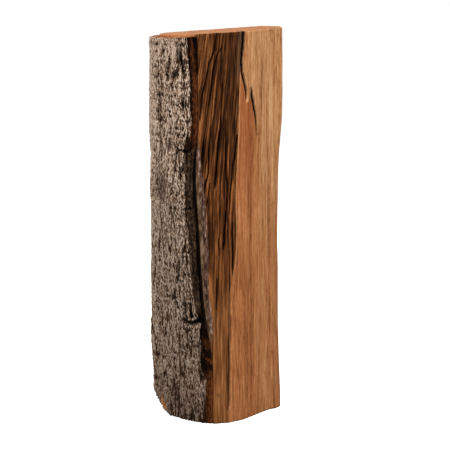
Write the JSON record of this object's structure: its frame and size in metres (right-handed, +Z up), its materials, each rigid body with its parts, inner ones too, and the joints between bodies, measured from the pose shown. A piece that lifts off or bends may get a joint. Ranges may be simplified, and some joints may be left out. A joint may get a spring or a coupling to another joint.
{
  "type": "split log",
  "caption": "Split firewood log standing on its sawn foot, with rough bark on its round side and riven wood faces.",
  "frame": {"origin": "centre of the log's sawn foot, on the surface it stands on", "axes": "+Z up along the grain; -Y is the side with the ridge between the dark face and the bright face; -X is the bark side"},
  "size_m": [0.1138, 0.1068, 0.3361],
  "materials": {
    "wood": "riven, dry, unfinished wood with a dark weathered face",
    "bark": "rough dry fissured bark"
  },
  "bodies": {
    "root": {"split_wood": "wood", "bark": "bark"}
  },
  "joints": []
}
